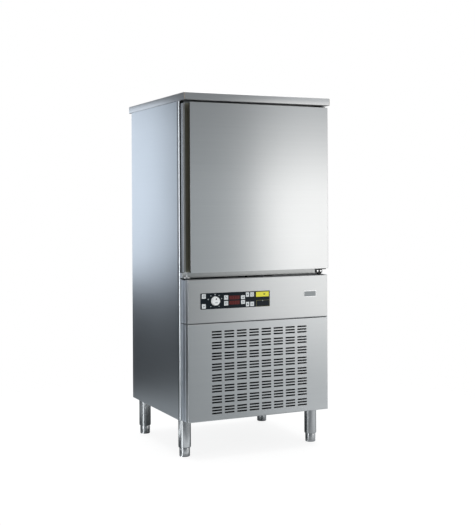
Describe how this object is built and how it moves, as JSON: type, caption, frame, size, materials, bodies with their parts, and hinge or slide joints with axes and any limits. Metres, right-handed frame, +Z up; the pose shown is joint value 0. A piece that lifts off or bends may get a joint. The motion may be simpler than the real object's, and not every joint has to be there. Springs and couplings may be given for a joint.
{
  "type": "blast chiller",
  "caption": "Upright stainless blast chiller on adjustable legs: foamed chamber with tray racks and fans, right-hinged door, control panel with knob, louvred unit bay",
  "frame": {"origin": "middle of the footprint, on the floor", "axes": "+Z up; the door and controls face -Y; +X to the right seen from the front"},
  "size_m": [0.75, 0.766, 1.656],
  "materials": {
    "satin_steel": "brushed satin stainless sheet",
    "plain_steel": "mill-finish stainless sheet",
    "galvanised": "galvanised sheet",
    "black_steel": "black paint over steel",
    "polished_steel": "polished stainless",
    "foam": "rigid foamed insulation",
    "board": "core board",
    "grey_plastic": "moulded plastic",
    "dark_plastic": "moulded plastic",
    "overlay_film": "printed polyester film",
    "red_lens": "tinted lens",
    "key_plastic": "moulded key cap",
    "knob_plastic": "moulded knob",
    "gasket_pvc": "magnetic gasket extrusion",
    "fins": "aluminium fins",
    "copper": "copper tube",
    "fan_plastic": "moulded impeller"
  },
  "bodies": {
    "cabinet": {"back_panel": "galvanised", "base_chassis": "galvanised", "breaker_frame": "grey_plastic", "cable_glands": "dark_plastic", "chamber_liner": "plain_steel", "compressor": "black_steel", "condenser_coil": "fins", "condenser_motor": "black_steel", "control_board": "grey_plastic", "control_panel": "satin_steel", "display_overlay": "overlay_film", "display_windows": "red_lens", "drip_tray": "plain_steel", "electrical_box": "grey_plastic", "evaporator_coil": "fins", "fan_guards": "polished_steel", "fan_motors": "black_steel", "fan_panel": "plain_steel", "fan_shroud": "galvanised", "front_frame": "satin_steel", "front_posts": "plain_steel", "grille_panel": "satin_steel", "hinge_bracket_lower": "plain_steel", "hinge_bracket_spare": "plain_steel", "hinge_bracket_upper": "plain_steel", "insulation": "foam", "leg_tubes": "polished_steel", "liquid_receiver": "black_steel", "rear_vent_panel": "galvanised", "refrigerant_pipes": "copper", "screws": "polished_steel", "side_panel_left": "satin_steel", "side_panel_right": "satin_steel", "tray_racks": "plain_steel", "worktop": "satin_steel", "worktop_board": "board"},
    "door": {"door_skin": "satin_steel", "door_liner": "plain_steel", "door_foam": "foam", "door_gasket": "gasket_pvc", "door_grip": "dark_plastic", "door_bushes": "dark_plastic"},
    "knob": {"selector_knob": "knob_plastic"},
    "key_far_left_lower": {"key_far_left_lower": "key_plastic"},
    "key_far_left_upper": {"key_far_left_upper": "key_plastic"},
    "key_far_right_lower": {"key_far_right_lower": "key_plastic"},
    "key_far_right_upper": {"key_far_right_upper": "key_plastic"},
    "key_left_lower": {"key_left_lower": "key_plastic"},
    "key_left_upper": {"key_left_upper": "key_plastic"},
    "key_middle_lower": {"key_middle_lower": "key_plastic"},
    "key_middle_upper": {"key_middle_upper": "key_plastic"},
    "key_right_lower": {"key_right_lower": "key_plastic"},
    "key_right_upper": {"key_right_upper": "key_plastic"},
    "foot_front_left": {"foot_front_left": "polished_steel"},
    "foot_front_right": {"foot_front_right": "polished_steel"},
    "foot_rear_left": {"foot_rear_left": "polished_steel"},
    "foot_rear_right": {"foot_rear_right": "polished_steel"},
    "evaporator_fan_upper": {"evaporator_fan_upper": "fan_plastic"},
    "evaporator_fan_lower": {"evaporator_fan_lower": "fan_plastic"},
    "condenser_fan": {"condenser_fan": "fan_plastic"}
  },
  "joints": [
    {"name": "door_hinge", "type": "hinge", "parent": "cabinet", "child": "door", "pos_m": [0.352, -0.327, 1.229], "axis": [0, 0, 1], "range_deg": [0, 120]},
    {"name": "knob_turn", "type": "hinge", "parent": "cabinet", "child": "knob", "pos_m": [-0.2276, -0.363, 0.71675], "axis": [0, 1, 0], "range_deg": [-140, 140]},
    {"name": "key_far_left_lower_press", "type": "slide", "parent": "cabinet", "child": "key_far_left_lower", "axis": [0, 1, 0], "range_m": [0, 0.0006], "stiffness_N_per_m": 400},
    {"name": "key_far_left_upper_press", "type": "slide", "parent": "cabinet", "child": "key_far_left_upper", "axis": [0, 1, 0], "range_m": [0, 0.0006], "stiffness_N_per_m": 400},
    {"name": "key_far_right_lower_press", "type": "slide", "parent": "cabinet", "child": "key_far_right_lower", "axis": [0, 1, 0], "range_m": [0, 0.0006], "stiffness_N_per_m": 400},
    {"name": "key_far_right_upper_press", "type": "slide", "parent": "cabinet", "child": "key_far_right_upper", "axis": [0, 1, 0], "range_m": [0, 0.0006], "stiffness_N_per_m": 400},
    {"name": "key_left_lower_press", "type": "slide", "parent": "cabinet", "child": "key_left_lower", "axis": [0, 1, 0], "range_m": [0, 0.0006], "stiffness_N_per_m": 400},
    {"name": "key_left_upper_press", "type": "slide", "parent": "cabinet", "child": "key_left_upper", "axis": [0, 1, 0], "range_m": [0, 0.0006], "stiffness_N_per_m": 400},
    {"name": "key_middle_lower_press", "type": "slide", "parent": "cabinet", "child": "key_middle_lower", "axis": [0, 1, 0], "range_m": [0, 0.0006], "stiffness_N_per_m": 400},
    {"name": "key_middle_upper_press", "type": "slide", "parent": "cabinet", "child": "key_middle_upper", "axis": [0, 1, 0], "range_m": [0, 0.0006], "stiffness_N_per_m": 400},
    {"name": "key_right_lower_press", "type": "slide", "parent": "cabinet", "child": "key_right_lower", "axis": [0, 1, 0], "range_m": [0, 0.0006], "stiffness_N_per_m": 400},
    {"name": "key_right_upper_press", "type": "slide", "parent": "cabinet", "child": "key_right_upper", "axis": [0, 1, 0], "range_m": [0, 0.0006], "stiffness_N_per_m": 400},
    {"name": "evaporator_fan_lower_spin", "type": "hinge", "parent": "cabinet", "child": "evaporator_fan_lower", "pos_m": [0, 0.14, 1.08729], "axis": [0, 1, 0], "continuous": true},
    {"name": "evaporator_fan_upper_spin", "type": "hinge", "parent": "cabinet", "child": "evaporator_fan_upper", "pos_m": [0, 0.14, 1.39521], "axis": [0, 1, 0], "continuous": true},
    {"name": "condenser_fan_spin", "type": "hinge", "parent": "cabinet", "child": "condenser_fan", "pos_m": [0, -0.18, 0.397], "axis": [0, 1, 0], "continuous": true},
    {"name": "foot_front_left_height", "type": "slide", "parent": "cabinet", "child": "foot_front_left", "axis": [0, 0, -1], "range_m": [0, 0.05]},
    {"name": "foot_front_right_height", "type": "slide", "parent": "cabinet", "child": "foot_front_right", "axis": [0, 0, -1], "range_m": [0, 0.05]},
    {"name": "foot_rear_left_height", "type": "slide", "parent": "cabinet", "child": "foot_rear_left", "axis": [0, 0, -1], "range_m": [0, 0.05]},
    {"name": "foot_rear_right_height", "type": "slide", "parent": "cabinet", "child": "foot_rear_right", "axis": [0, 0, -1], "range_m": [0, 0.05]}
  ]
}
